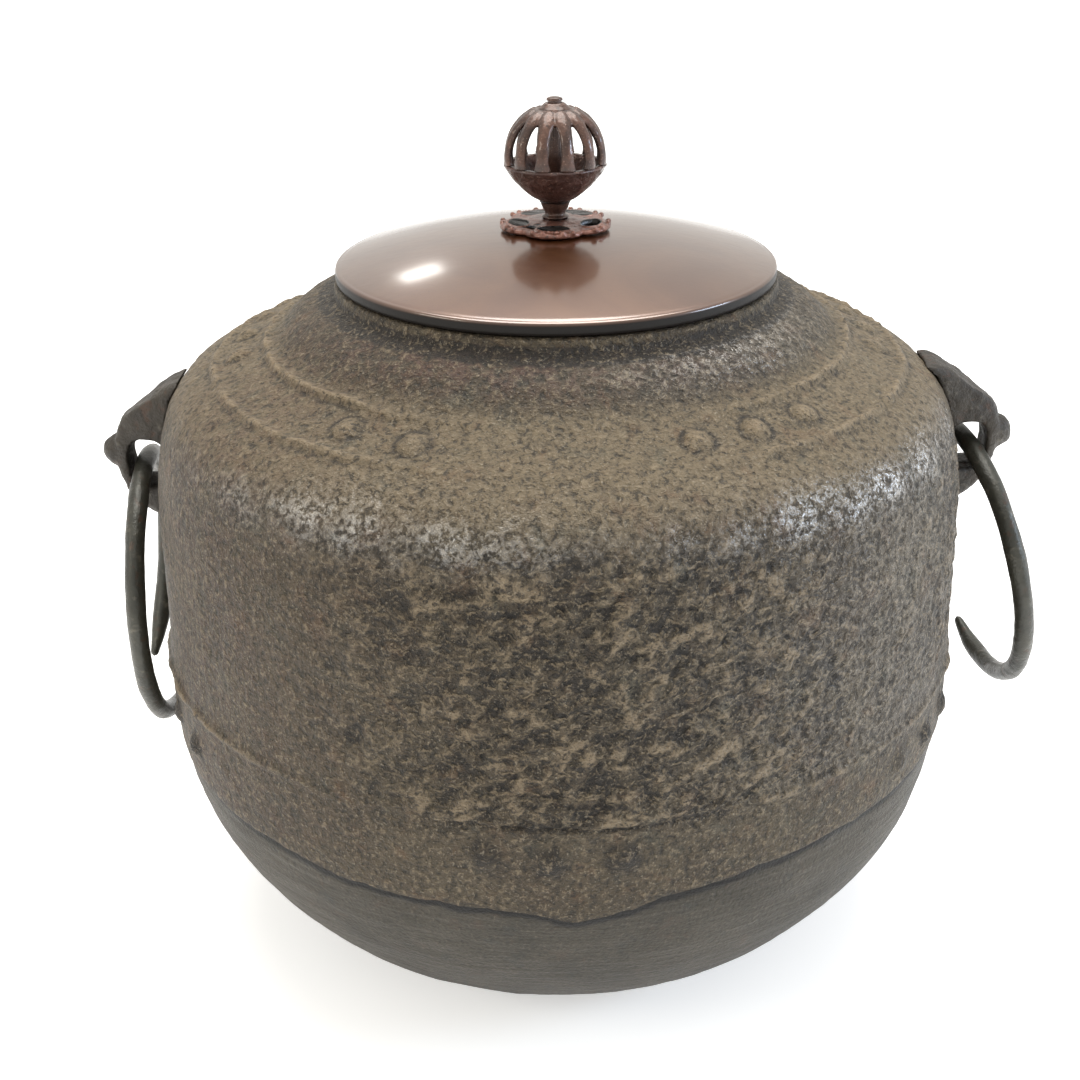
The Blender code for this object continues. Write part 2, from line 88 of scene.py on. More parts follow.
# raised lines, (azimuth, height of the line in millimetres), from worn off to nearly whole
LINE_A = ((-180, 0.7), (-110, 0.6), (-85, 0.9), (-40, 1.0), (-30, 0.5), (-12, 0.25), (10, 0.15), (28, 0.25),
          (45, 0.8), (110, 0.9), (180, 0.8))
LINE_B = ((-180, 0.7), (-110, 0.6), (-85, 0.9), (-34, 0.8), (-26, 0.4), (-10, 0.12), (20, 0.25), (34, 0.75),
          (110, 0.9), (180, 0.8))
LINE_C = ((-180, 0.7), (-100, 0.9), (-52, 0.85), (-40, 0.4), (-25, 0.1), (12, 0.1), (30, 0.3),
          (60, 0.7), (120, 0.8), (180, 0.7))
LINE_HEIGHTS = (0.1888, 0.1820, 0.0947)
# low studs, (azimuth, height, how much of the stud is left)
STUDS = (
    (22.3, 0.1852, 0.9), (32.9, 0.1852, 1.0), (43.9, 0.1852, 0.9), (-22.8, 0.1850, 0.9),
    (-35.5, 0.1852, 0.9), (-11.0, 0.1850, 0.2), (-81.5, 0.1850, 0.8), (-93.3, 0.1850, 0.8),
    (-105.0, 0.1850, 0.7), (84.0, 0.1850, 0.7), (95.0, 0.1850, 0.8), (106.0, 0.1850, 0.8),
    (144.0, 0.1850, 0.8), (155.0, 0.1850, 0.7), (-145.0, 0.1850, 0.8), (-156.0, 0.1850, 0.6),
    (-9.2, 0.0845, 0.55), (-1.0, 0.0838, 0.75), (7.8, 0.0845, 0.8), (-59.7, 0.0820, 0.9),
    (-68.5, 0.0835, 0.8), (-51.0, 0.0835, 0.25), (52.0, 0.0840, 0.5), (60.5, 0.0840, 0.8),
    (69.0, 0.0840, 0.8), (112.0, 0.0840, 0.7), (121.0, 0.0840, 0.8), (-112.0, 0.0840, 0.8),
    (-121.0, 0.0840, 0.7), (171.0, 0.0840, 0.8), (180.0, 0.0840, 0.7),
)
STUD_R = 4.4 * MM
STUD_HEIGHT = 2.2 * MM
# casting pits, (azimuth, height, radius, depth)
PITS = ((-25.4, 0.1150, 0.0032, 0.0011), (-24.0, 0.1205, 0.0022, 0.0006), (36.3, 0.1235, 0.0034, 0.0014),
        (37.5, 0.1160, 0.0026, 0.0010), (35.6, 0.1290, 0.0020, 0.0008), (30.5, 0.1265, 0.0024, 0.0006),
        (-132.0, 0.1310, 0.0032, 0.0010), (118.0, 0.1120, 0.0030, 0.0011))


# ---------------------------------------------------------------- numbers and fields
def smooth(low, high, value):
    """0 below low, 1 above high, eased between."""
    t = np.clip((np.asarray(value, float) - low) / (high - low), 0.0, 1.0)
    return t * t * (3 - 2 * t)


def hill(value, width):
    """1 at zero, falling off to either side like a bell."""
    return np.exp(-(np.asarray(value, float) / width) ** 2)


def along(table, azimuth):
    """Value at each azimuth of a table of (azimuth, value) that runs from -180 to 180."""
    places, values = zip(*table)
    return np.interp(azimuth, places, values)


def field(points, size, octaves=3, seed=0.0):
    """Fractal noise, about -1 to 1, at every point; size is that of one lump, or one per axis."""
    scaled = points.reshape(-1, 3) / np.broadcast_to(np.asarray(size, float), (3,)) + seed
    values = [noise.fractal(p, 1.0, 2.1, octaves) for p in scaled.tolist()]
    return np.array(values).reshape(points.shape[:-1])


def curve_through(points, steps=12):
    """Catmull-Rom curve through two-dimensional points."""
    p = np.array(points, float)
    p = np.vstack([2 * p[0] - p[1], p, 2 * p[-1] - p[-2]])
    t = (np.arange(steps) / steps)[:, None]
    out = []
    for a, b, c, d in zip(p, p[1:], p[2:], p[3:]):
        out.append(0.5 * (2 * b + (c - a) * t + (2 * a - 5 * b + 4 * c - d) * t ** 2
                          + (3 * b - a - 3 * c + d) * t ** 3))
    out.append(p[-2][None, :])
    return np.vstack(out)


def lengths(line):
    """Distance along a line at each of its points."""
    return np.concatenate([[0.0], np.cumsum(np.linalg.norm(np.diff(line, axis=0), axis=1))])


def resample(line, spacing, finer_at=(), finer=1.0, reach=3.5 * MM):
    """The line with even spacing, or `finer` times denser near the given distances."""
    run = lengths(line)
    fine = np.linspace(0, run[-1], 4000)
    density = np.ones_like(fine)
    for place in finer_at:
        density += (finer - 1) * (np.abs(fine - place) < reach)
    density = np.minimum(density, finer)
    total = np.concatenate([[0.0], np.cumsum((density[1:] + density[:-1]) / 2 * np.diff(fine))])
    count = int(round(total[-1] / spacing)) + 1
    where = np.interp(np.linspace(0, total[-1], count), total, fine)
    return np.column_stack([np.interp(where, run, line[:, k]) for k in (0, 1)])


def outward(line):
    """Unit normals on the right of a line that climbs, which point away from the axis."""
    step = np.gradient(line, axis=0)
    normal = np.column_stack([step[:, 1], -step[:, 0]])
    return normal / np.linalg.norm(normal, axis=1)[:, None]


def ring_azimuths(around):
    return np.linspace(-180.0, 180.0, around, endpoint=False)


def turned(line, around):
    """Points [row, around, xyz] of a line of (radius, height) turned round the axis."""
    a = np.radians(ring_azimuths(around))
    r, z = line[:, 0][:, None], line[:, 1][:, None]
    x, y, z = np.broadcast_arrays(r * np.sin(a), -r * np.cos(a), z)
    return np.stack([x, y, z], -1)


def pushed(points, normals, amount):
    """Turned points moved along the line's normals by amount[row, around]."""
    a = np.radians(ring_azimuths(points.shape[1]))
    out, up = normals[:, 0][:, None] * amount, normals[:, 1][:, None] * amount
    return points + np.stack([out * np.sin(a), -out * np.cos(a), up], -1)


# ---------------------------------------------------------------- meshes
def make_object(name, mesh, mat, body, stands_for):
    """Puts a piece on its body, in the place of the CAD node it stands for, and hides that node."""
    mesh.shade_smooth()
    mesh.materials.clear()
    mesh.materials.append(mat)
    item = bpy.data.objects.new(name, mesh)
    bpy.context.scene.collection.objects.link(item)
    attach(item, body)
    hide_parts(stands_for)
    return item


def grid_mesh(name, points, closed_rows=False, caps=(False, False), values=None):
    """Mesh over points[row, around]; the rows join round the axis, and may join end to end
    or be closed by a fan at either end. values are float attributes by name."""
    rows, around = points.shape[:2]
    index = np.arange(rows * around).reshape(rows, around)
    low, high = (index, np.roll(index, -1, axis=0)) if closed_rows else (index[:-1], index[1:])
    quads = np.stack([low, np.roll(low, -1, 1), np.roll(high, -1, 1), high], -1)
    faces = quads.reshape(-1, 4).tolist()
    verts = points.reshape(-1, 3)
    for is_capped, row, flip in zip(caps, (0, rows - 1), (True, False)):
        if is_capped:
            centre = len(verts)
            verts = np.vstack([verts, points[row].mean(0)])
            for a, b in zip(index[row].tolist(), np.roll(index[row], -1).tolist()):
                faces.append((b, a, centre) if flip else (a, b, centre))
    mesh = bpy.data.meshes.new(name)
    mesh.from_pydata(verts.tolist(), [], faces)
    for key, value in (values or {}).items():
        padded = np.zeros(len(verts), np.float32)
        padded[:rows * around] = np.asarray(value, np.float32).ravel()
        mesh.attributes.new(key, "FLOAT", "POINT").data.foreach_set("value", padded)
    mesh.update()
    return mesh


def moved_by_noise(mesh, size, amount, seed=0.0, octaves=3):
    """Pushes every vertex along its normal by fractal noise."""
    count = len(mesh.vertices)
    places, normals = np.zeros(count * 3), np.zeros(count * 3)
    mesh.vertices.foreach_get("co", places)
    mesh.vertex_normals.foreach_get("vector", normals)
    places = places.reshape(-1, 3)
    places += normals.reshape(-1, 3) * (field(places, size, octaves, seed) * amount)[:, None]
    mesh.vertices.foreach_set("co", places.ravel())
    mesh.update()


def remeshed(name, bm, voxel, rounds, factor=0.5):
    """One smooth skin over everything in bm, as if cast in one piece."""
    raw = bpy.data.meshes.new(name + "_raw")
    bm.to_mesh(raw)
    bm.free()
    item = bpy.data.objects.new(name + "_raw", raw)
    bpy.context.scene.collection.objects.link(item)
    skin = item.modifiers.new("skin", "REMESH")
    skin.mode = "VOXEL"
    skin.voxel_size = voxel
    soften = item.modifiers.new("soften", "SMOOTH")
    soften.factor = factor
    soften.iterations = rounds
    bpy.context.view_layer.update()
    mesh = bpy.data.meshes.new_from_object(item.evaluated_get(bpy.context.evaluated_depsgraph_get()))
    mesh.name = name
    bpy.data.objects.remove(item)
    bpy.data.meshes.remove(raw)
    return mesh


def cad_copy(node):
    """A CAD node's mesh to work on, joined up."""
    bm = bmesh.new()
    bm.from_mesh(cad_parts[node].data)
    bmesh.ops.remove_doubles(bm, verts=bm.verts, dist=1e-6)
    return bm


# ---------------------------------------------------------------- material nodes
def srgb(red, green, blue):
    """Linear colour of an 8-bit display colour."""
    shares = [value / 255 for value in (red, green, blue)]
    linear = [((c + 0.055) / 1.055) ** 2.4 if c > 0.04 else c / 12.92 for c in shares]
    return (*linear, 1.0)


class Look:
    """A Principled material and short calls that add nodes to it."""

    def __init__(self, name, **settings):
        self.mat = bpy.data.materials.new(name)
        self.mat.use_nodes = True
        self.tree = self.mat.node_tree
        self.shader = self.tree.nodes["Principled BSDF"]
        self.coords = self.tree.nodes.new("ShaderNodeTexCoord").outputs["Object"]
        for key, value in settings.items():
            self.set(self.shader.inputs[key.replace("_", " ")], value)

    def set(self, socket, value):
        if isinstance(value, bpy.types.NodeSocket):
            self.tree.links.new(value, socket)
        else:
            socket.default_value = value

    def node(self, kind, inputs=(), **options):
        made = self.tree.nodes.new("ShaderNode" + kind)
        for key, value in options.items():
            setattr(made, key, value)
        for key, value in dict(inputs).items():
            self.set(made.inputs[key], value)
        return made

    def stretched(self, size, stretch, raised):
        scale = [1.0 / (size * s) for s in stretch]
        shift = (0.0, 0.0, raised * scale[2])
        made = self.node("Mapping", {"Vector": self.coords, "Scale": scale, "Location": shift})
        return made.outputs["Vector"]

    def noise(self, size, detail=3.0, roughness=0.55, stretch=(1, 1, 1), distortion=0.0, raised=0.0):
        """Fractal noise, 0 to 1; raised reads it that far above each point."""
        made = self.node("TexNoise", {"Vector": self.stretched(size, stretch, raised), "Scale": 1.0,
                                      "Detail": detail, "Roughness": roughness, "Distortion": distortion})
        return made.outputs["Fac"]

    def band(self, value, low, high, start=0.0, end=1.0):
        made = self.node("MapRange", {"Value": value, "From Min": low, "From Max": high,
                                      "To Min": start, "To Max": end}, interpolation_type="SMOOTHSTEP")
        return made.outputs["Result"]

    def maths(self, operation, a, b=0.0):
        made = self.node("Math", {0: a, 1: b}, operation=operation)
        return made.outputs["Value"]

    def add(self, a, b):
        return self.maths("ADD", a, b)

    def times(self, a, b):
        return self.maths("MULTIPLY", a, b)

    def mix(self, a, b, share):
        made = self.node("Mix", data_type="RGBA")
        self.set(made.inputs[0], share)
        self.set(made.inputs[6], a)
        self.set(made.inputs[7], b)
        return made.outputs[2]

    def value_of(self, name):
        return self.node("Attribute", attribute_name=name).outputs["Fac"]

    def bump(self, height, distance, strength=1.0, normal=None):
        made = self.node("Bump", {"Height": height, "Distance": distance, "Strength": strength})
        if normal is not None:
            self.set(made.inputs["Normal"], normal)
        return made.outputs["Normal"]

    def finish(self, colour, roughness, normal):
        self.set(self.shader.inputs["Base Color"], colour)
        self.set(self.shader.inputs["Roughness"], roughness)
        self.set(self.shader.inputs["Normal"], normal)
        return self.mat


def cast_iron(name):
    """Old rough casting: brown-grey skin, glossy along the shoulder's edge; painted shade darkens the
    hollows and a painted highlight lightens the crests and the top of the shoulder.
    """
    look = Look(name, IOR=1.55, Specular_IOR_Level=0.3, Coat_Roughness=0.17, Coat_IOR=2.6)
    relief = look.value_of("relief")
    rust = look.value_of("rust")
    gloss = look.value_of("gloss")
    strong = look.value_of("strong")
    top = look.value_of("top")
    grain = look.noise(1.7 * MM, 3.0, 0.7, distortion=0.3)
    speck = look.noise(0.8 * MM, 2.0, 0.6)
    cloud = look.noise(26 * MM, 4.0, 0.6, distortion=0.6)
    stain = look.noise(10 * MM, 4.0, 0.65, distortion=0.4)
    flat = (1.05, 1.05, 0.9)
    flakes = look.noise(3.6 * MM, 4.0, 0.62, flat, 0.45)
    flakes_above = look.noise(3.6 * MM, 4.0, 0.62, flat, 0.45, 0.7 * MM)
    under = look.maths("SUBTRACT", flakes_above, flakes)
    colour = look.mix(srgb(60, 51, 39), srgb(75, 66, 51), look.band(cloud, 0.30, 0.70))
    # painted light: the top of the shoulder is made lighter, as if lit from above
    colour = look.mix(colour, srgb(116, 102, 80), look.times(top, 0.65))
    colour = look.mix(colour, srgb(92, 68, 47), look.band(stain, 0.54, 0.74, 0.0, 0.55))
    colour = look.mix(colour, srgb(64, 66, 58), look.band(stain, 0.45, 0.28, 0.0, 0.5))
    colour = look.mix(colour, srgb(72, 52, 44), look.times(rust, look.band(flakes, 0.35, 0.65)))
    # painted shade where the relief is low and a painted highlight where it is high
    colour = look.mix(colour, srgb(28, 24, 21), look.band(relief, -0.05, -0.80, 0.0, 0.85))
    colour = look.mix(colour, srgb(134, 118, 95), look.band(relief, 0.10, 0.9, 0.0, 0.7))
    # painted shade in the low flakes, a painted highlight on flakes with lower ones above them, and a
    # painted shadow under ledges
    hollow = look.times(look.band(flakes, 0.48, 0.34), look.band(strong, 0.0, 1.0, 0.30, 0.65))
    colour = look.mix(colour, srgb(31, 27, 23), hollow)
    crest = look.times(look.band(under, -0.03, -0.13), look.band(strong, 0.0, 1.0, 0.12, 0.58))
    colour = look.mix(colour, srgb(136, 121, 98), crest)
    shadow = look.times(look.band(under, 0.03, 0.13), look.band(strong, 0.0, 1.0, 0.12, 0.80))
    colour = look.mix(colour, srgb(22, 19, 17), shadow)
    colour = look.mix(colour, srgb(26, 24, 21), look.band(grain, 0.50, 0.34, 0.0, 0.75))
    colour = look.mix(colour, srgb(134, 120, 98), look.band(grain, 0.53, 0.70, 0.0, 0.55))
    colour = look.mix(colour, srgb(150, 140, 122), look.band(speck, 0.58, 0.74, 0.0, 0.5))
    rough = look.band(gloss, 0.0, 1.0, 0.58, 0.40)
    normal = look.bump(flakes, 3.0 * MM, look.band(strong, 0.0, 1.0, 0.35, 1.0))
    normal = look.bump(grain, 1.6 * MM, 0.9, normal)
    normal = look.bump(speck, 0.6 * MM, 0.8, normal)
    skin = look.bump(flakes, 1.2 * MM, 0.6)
    skin = look.bump(grain, 0.9 * MM, 0.7, skin)
    look.set(look.shader.inputs["Coat Normal"], skin)
    look.set(look.shader.inputs["Coat Weight"], look.times(gloss, look.band(grain, 0.44, 0.56)))
    return look.finish(colour, rough, normal)


def scraped_iron(name):
    """The bottom: the same iron, dressed smoother in strokes that run round it."""
    look = Look(name, IOR=1.5, Specular_IOR_Level=0.35)
    grain = look.noise(1.0 * MM, 4.0, 0.6)
    cloud = look.noise(26 * MM, 4.0, 0.6, distortion=0.5)
    strokes = look.noise(3.0 * MM, 3.0, 0.6, stretch=(7.0, 7.0, 0.30), distortion=0.3)
    soot = look.noise(7 * MM, 5.0, 0.65, distortion=0.5)
    shade = look.value_of("under_hem")
    colour = look.mix(srgb(52, 48, 40), srgb(66, 61, 52), look.band(cloud, 0.32, 0.68))
    colour = look.mix(colour, srgb(76, 60, 48), look.band(soot, 0.56, 0.74, 0.0, 0.5))
    colour = look.mix(colour, srgb(46, 48, 46), look.band(soot, 0.44, 0.28, 0.0, 0.55))
    colour = look.mix(colour, srgb(90, 84, 75), look.band(strokes, 0.52, 0.76, 0.0, 0.25))
    colour = look.mix(colour, srgb(24, 22, 20), look.band(grain, 0.48, 0.32, 0.0, 0.6))
    colour = look.mix(colour, srgb(110, 102, 90), look.band(grain, 0.56, 0.72, 0.0, 0.45))
    colour = look.mix(colour, srgb(16, 14, 13), shade)
    rough = look.band(strokes, 0.3, 0.7, 0.62, 0.48)
    normal = look.bump(strokes, 0.45 * MM, 0.6)
    normal = look.bump(grain, 1.0 * MM, 0.9, normal)
    return look.finish(colour, rough, normal)


def forged_iron(name, base, tint, low_rough, high_rough, relief=1.0):
    """Dark handled iron: oiled skin, thin rust in the hollows, brighter where it rubs."""
    look = Look(name, Metallic=0.35, IOR=1.6)
    grain = look.noise(0.7 * MM, 4.0, 0.6)
    dents = look.noise(3.2 * MM, 3.0, 0.55, distortion=0.3)
    cloud = look.noise(12 * MM, 3.0, 0.6)
    colour = look.mix(base, tint, look.band(cloud, 0.35, 0.65))
    colour = look.mix(colour, srgb(74, 50, 36), look.band(dents, 0.44, 0.26, 0.0, 0.55))
    colour = look.mix(colour, srgb(112, 106, 94), look.band(dents, 0.58, 0.78, 0.0, 0.45))
    rough = look.band(grain, 0.3, 0.7, high_rough, low_rough)
    normal = look.bump(dents, 0.7 * MM * relief, 0.5)
    normal = look.bump(grain, 0.22 * MM * relief, 0.6, normal)
    return look.finish(colour, rough, normal)


def lid_bronze(name):
    """Polished red-brown bronze, lacquered, with faint clouds, fine scuffs and a darker side."""
    look = Look(name, IOR=1.6, Coat_Roughness=0.135, Coat_IOR=1.85)
    cloud = look.noise(30 * MM, 4.0, 0.6, distortion=0.8)
    speck = look.noise(0.8 * MM, 3.0, 0.6)
    scuffs = look.noise(1.2 * MM, 3.0, 0.6, stretch=(6.0, 0.6, 1.0), distortion=0.4)
    side = look.value_of("side")
    colour = look.mix(srgb(80, 45, 22), srgb(93, 58, 33), look.band(cloud, 0.32, 0.68))
    colour = look.mix(colour, srgb(62, 36, 25), look.band(speck, 0.40, 0.26, 0.0, 0.5))
    colour = look.mix(colour, srgb(26, 23, 21), side)
    rough = look.band(scuffs, 0.35, 0.70, 0.29, 0.33)
    rough = look.add(rough, look.times(side, 0.20))
    look.set(look.shader.inputs["Coat Weight"], look.band(side, 0.0, 1.0, 1.0, 0.03))
    look.set(look.shader.inputs["Specular IOR Level"], look.band(side, 0.0, 1.0, 0.5, 0.15))
    look.set(look.shader.inputs["Metallic"], look.band(side, 0.0, 1.0, 0.55, 0.0))
    normal = look.bump(cloud, 0.3 * MM, 0.10)
    normal = look.bump(speck, 0.03 * MM, 0.3, normal)
    return look.finish(colour, rough, normal)


def old_bronze(name, rough_cast=0.3, dark=srgb(54, 36, 29), light=srgb(88, 60, 48), speck=0.45 * MM):
    """Patinated bronze of the knob: red-brown, near black in the hollows, rubbed on the edges."""
    look = Look(name, Metallic=0.5, IOR=1.5, Coat_Weight=0.5, Coat_Roughness=0.14)
    grain = look.noise(speck, 4.0, 0.62)
    lumps = look.noise(1.6 * MM, 3.0, 0.6, distortion=0.4)
    cloud = look.noise(6 * MM, 3.0, 0.6)
    colour = look.mix(dark, light, look.band(cloud, 0.32, 0.68))
    colour = look.mix(colour, srgb(30, 21, 19), look.band(lumps, 0.46, 0.28, 0.0, 0.8))
    colour = look.mix(colour, srgb(176, 148, 134), look.band(grain, 0.58, 0.74, 0.0, 0.6))
    colour = look.mix(colour, srgb(20, 15, 13), look.value_of("shade"))
    rough = look.band(grain, 0.3, 0.7, 0.48, 0.34)
    normal = look.bump(lumps, 1.2 * MM * rough_cast, 0.7)
    normal = look.bump(grain, 0.35 * MM * rough_cast, 0.8, normal)
    return look.finish(colour, rough, normal)


def black_lacquer(name):
    """Thin iron under black lacquer, brown with scale in patches."""
    look = Look(name, Metallic=0.0, IOR=1.5)
    grain = look.noise(1.2 * MM, 4.0, 0.6)
    scale = look.noise(6 * MM, 4.0, 0.65)
    colour = look.mix(srgb(30, 27, 25), srgb(66, 52, 42), look.band(scale, 0.45, 0.70))
    rough = look.band(grain, 0.3, 0.7, 0.42, 0.62)
    return look.finish(colour, rough, look.bump(grain, 0.3 * MM, 0.6))


def pale_floor(name):
    look = Look(name, Metallic=0.0)
    cloud = look.noise(0.3, 2.0, 0.5)
    colour = look.mix(srgb(246, 246, 246), srgb(250, 250, 250), cloud)
    look.set(look.shader.inputs["Emission Color"], srgb(255, 255, 255))
    look.set(look.shader.inputs["Emission Strength"], 0.45)
    return look.finish(colour, 0.85, look.bump(cloud, 0.1 * MM, 0.1))


# ---------------------------------------------------------------- iron body
def on_body(line, azimuth, height):
    """The point of the turned line at an azimuth and a height."""
    radius = np.interp(height, line[:, 1], line[:, 0])
    a = math.radians(azimuth)
    return np.array((radius * math.sin(a), -radius * math.cos(a), height))


def body_shape(line, points):
    """Relief of the body's outside: how far each point stands out, and its finish with its painted light and
    shade.
    """
    azimuth = ring_azimuths(points.shape[1])[None, :]
    z = line[:, 1][:, None]
    run = lengths(line)
    warped = points.copy()
    warped[..., 2] += 2.0 * MM * field(points, 7 * MM, 2, 7.3)
    grain = np.array((3.9, 3.9, 2.9)) * MM
    lumps = field(warped, grain, 2, 1.7)
    leaned = warped.copy()
    leaned[..., 2] += 1.0 * MM * lumps
    lumps = field(leaned, grain, 2, 1.7)
    ledges = field(warped, np.array((9.0, 9.0, 6.0)) * MM, 3, 5.2)
    terraces = smooth(-0.12, 0.12, lumps) + 0.8 * smooth(-0.05, 0.15, ledges) - 0.9
    swell = field(points, 40 * MM, 2, 4.1)
    coarse_spot = smooth(-0.15, 0.35, field(points, 70 * MM, 2, 9.9))
    front = smooth(-46, 4, azimuth) * (1 - smooth(12, 62, azimuth))
    back = (1 - hill(azimuth, 75)) * coarse_spot
    belt = smooth(0.086, 0.100, z) * (1 - smooth(0.158, 0.176, z))
    strong = np.clip(front + back, 0, 1) * belt
    size = (0.16 + 0.62 * strong) * MM
    out = size * (0.75 * terraces + 0.60 * lumps) + 0.25 * MM * swell
    lines = np.zeros_like(out)          # painted highlight on the line crests, with painted shade at the foot below them
    for height, table, seed in zip(LINE_HEIGHTS, (LINE_A, LINE_B, LINE_C), (2.0, 5.0, 8.0)):
        row = np.interp(height, line[:, 1], run)
        wander = 0.9 * MM * field(points[:1] * (1, 1, 0), 26 * MM, 2, seed)
        beads = 0.85 + 0.6 * field(points[:1] * (1, 1, 0), 7 * MM, 2, seed + 3)
        distance = run[:, None] - row - wander
        crest = along(table, azimuth) * beads
        lines = lines + crest * (hill(distance, 1.2 * MM) - 0.6 * hill(distance + 2.3 * MM, 1.0 * MM))
        out = out + 1.6 * MM * crest * hill(distance, 1.25 * MM)
    # in front, the lowest line is a torn ledge with a thin crack cut under it, darkened with painted shade
    row = np.interp(LINE_HEIGHTS[2], line[:, 1], run)
    distance = run[:, None] - row - 0.9 * MM * field(points[:1] * (1, 1, 0), 26 * MM, 2, 8.0)
    torn = hill(azimuth - 3, 16)
    out = out + torn * (0.7 * MM * smooth(-0.6 * MM, 0.9 * MM, distance) * hill(distance, 9 * MM))
    crack = torn * hill(distance + 0.5 * MM, 0.7 * MM)
    out = out - 0.8 * MM * crack
    studs, foot = np.zeros_like(out), np.zeros_like(out)
    for where, height, left in STUDS:
        away = np.linalg.norm(points - on_body(line, where, height), axis=-1) / STUD_R
        studs = np.maximum(studs, left * np.clip(1 - away ** 2, 0, 1) ** 1.15)
        foot = np.maximum(foot, left * hill(away - 1.05, 0.22))
    out = out * (1 - 0.75 * studs) + STUD_HEIGHT * studs
    pits = np.zeros_like(out)
    for where, height, radius, depth in PITS:
        away = np.linalg.norm(points - on_body(line, where, height), axis=-1)
        pits = np.maximum(pits, depth * hill(away, radius * 0.7))
    out = out - pits
    # the relief attribute drives painted light: painted shade in hollows, pits, the crack and round the feet
    # of lines and studs, and a painted highlight on lumps, line crests and upper studs; the lower studs are
    # darkened
    relief = np.clip((0.75 * terraces + 0.55 * lumps) * (0.12 + 0.9 * strong), -1, 1)
    relief = relief * (1 - studs) - 1.8 * crack - 1.6 * pits / MM + 1.0 * lines - 0.8 * foot
    relief = relief - 1.3 * studs * (z < 0.1) + 0.9 * studs * (z > 0.1)
    # painted shadow on the top of the neck under the lid's rim
    relief = relief - 2.0 * smooth(0.1992, 0.2010, z)
    neck = smooth(0.190, 0.199, z)
    rust = np.clip(0.9 * neck * hill(azimuth + 20, 55) + 0.5 * hill(azimuth + 55, 22) * (1 - neck), 0, 1)
    patches = smooth(-0.25, 0.25, field(points, 12 * MM, 2, 6.4))
    lit = 0.12 + hill(azimuth + 24, 20) + hill(azimuth - 44, 24) + 0.5 * hill(azimuth - 85, 25)
    gloss = hill(z - 0.1700, 0.0052) * (0.35 + 0.65 * patches) * lit
    gloss = gloss + 0.16 * hill(azimuth - 50, 30) * belt + 0.5 * neck * (z < 0.2) * hill(azimuth - 50, 28)
    # top marks the band of the shoulder that gets painted light
    top = smooth(0.166, 0.178, z) * (1 - smooth(0.188, 0.194, z))
    return out, {"relief": relief, "rust": rust, "gloss": np.clip(gloss, 0, 1), "strong": strong,
                 "top": np.broadcast_to(top, out.shape)}


def hem_height(points):
    """Height of the body's torn lower edge at each azimuth of a row of points."""
    tears = 0.55 * field(points, 9 * MM, 3, 3.3) + 0.25 * field(points, 3 * MM, 2, 6.1)
    return (along(EDGE, ring_azimuths(len(points))) + tears) * MM


def kettle_body(mat):
    """The body: outside with its relief, lip, inside, and the torn edge that hides the lap."""
    around = 600
    outer = curve_through(BODY_LINE)
    run = lengths(outer)
    lines = [np.interp(h, outer[:, 1], run) for h in LINE_HEIGHTS]
    outer = resample(outer, 1.55 * MM, lines, 2.4)
    points = turned(outer, around)
    amount, values = body_shape(outer, points)
    # the torn lower edge: the lowest rows are stretched to follow it
    fixed_z, first_z = 0.0815, outer[0, 1]
    edge = hem_height(points[0])
    share = np.clip((fixed_z - outer[:, 1]) / (fixed_z - first_z), 0, 1)[:, None]
    points[..., 2] += share * (edge - first_z)[None, :]
    amount = amount * (1 - 0.5 * share ** 4)
    points = pushed(points, outward(outer), amount)
    lip = [(NECK_R - 0.3 * MM, LIP_Z - 1.6 * MM), (NECK_R - 0.6 * MM, LIP_Z - 0.5 * MM),
           (NECK_R - 1.6 * MM, LIP_Z), (BORE_R + 0.8 * MM, LIP_Z), (BORE_R, LIP_Z - 0.7 * MM)]
    inner = resample(curve_through([p for p in BODY_LINE if p[1] > 0.08]), 9 * MM)
    inner = inner - outward(inner) * WALL
    inner = inner[inner[:, 0] > BORE_R + 1.5 * MM]
    skirt = [(SKIRT_IN_R - 3.4 * MM, SKIRT_TOP_Z), (SKIRT_IN_R, SKIRT_TOP_Z)]
    inside = turned(np.array([*lip, (BORE_R, inner[-1, 1]), *inner[::-1], *skirt]), around)
    inside[5:] += (0.35 * MM * field(inside[5:], 12 * MM, 3, 2.2))[..., None] * (1, 1, 0)
    hem = turned(np.array([(SKIRT_IN_R, 0.0), (SKIRT_IN_R, 0.0), (SKIRT_IN_R + 0.35 * MM, 0.0)]), around)
    hem[..., 2] = edge + np.array((4.0, 0.5, 0.05))[:, None] * MM
    everything = np.concatenate([points, inside, hem])
    for key, value in values.items():
        values[key] = np.concatenate([value, np.zeros((len(inside) + len(hem), around))])
    mesh = grid_mesh("iron_body", everything, closed_rows=True, values=values)
    return make_object("iron_body", mesh, mat, "kettle", "kettle_body")


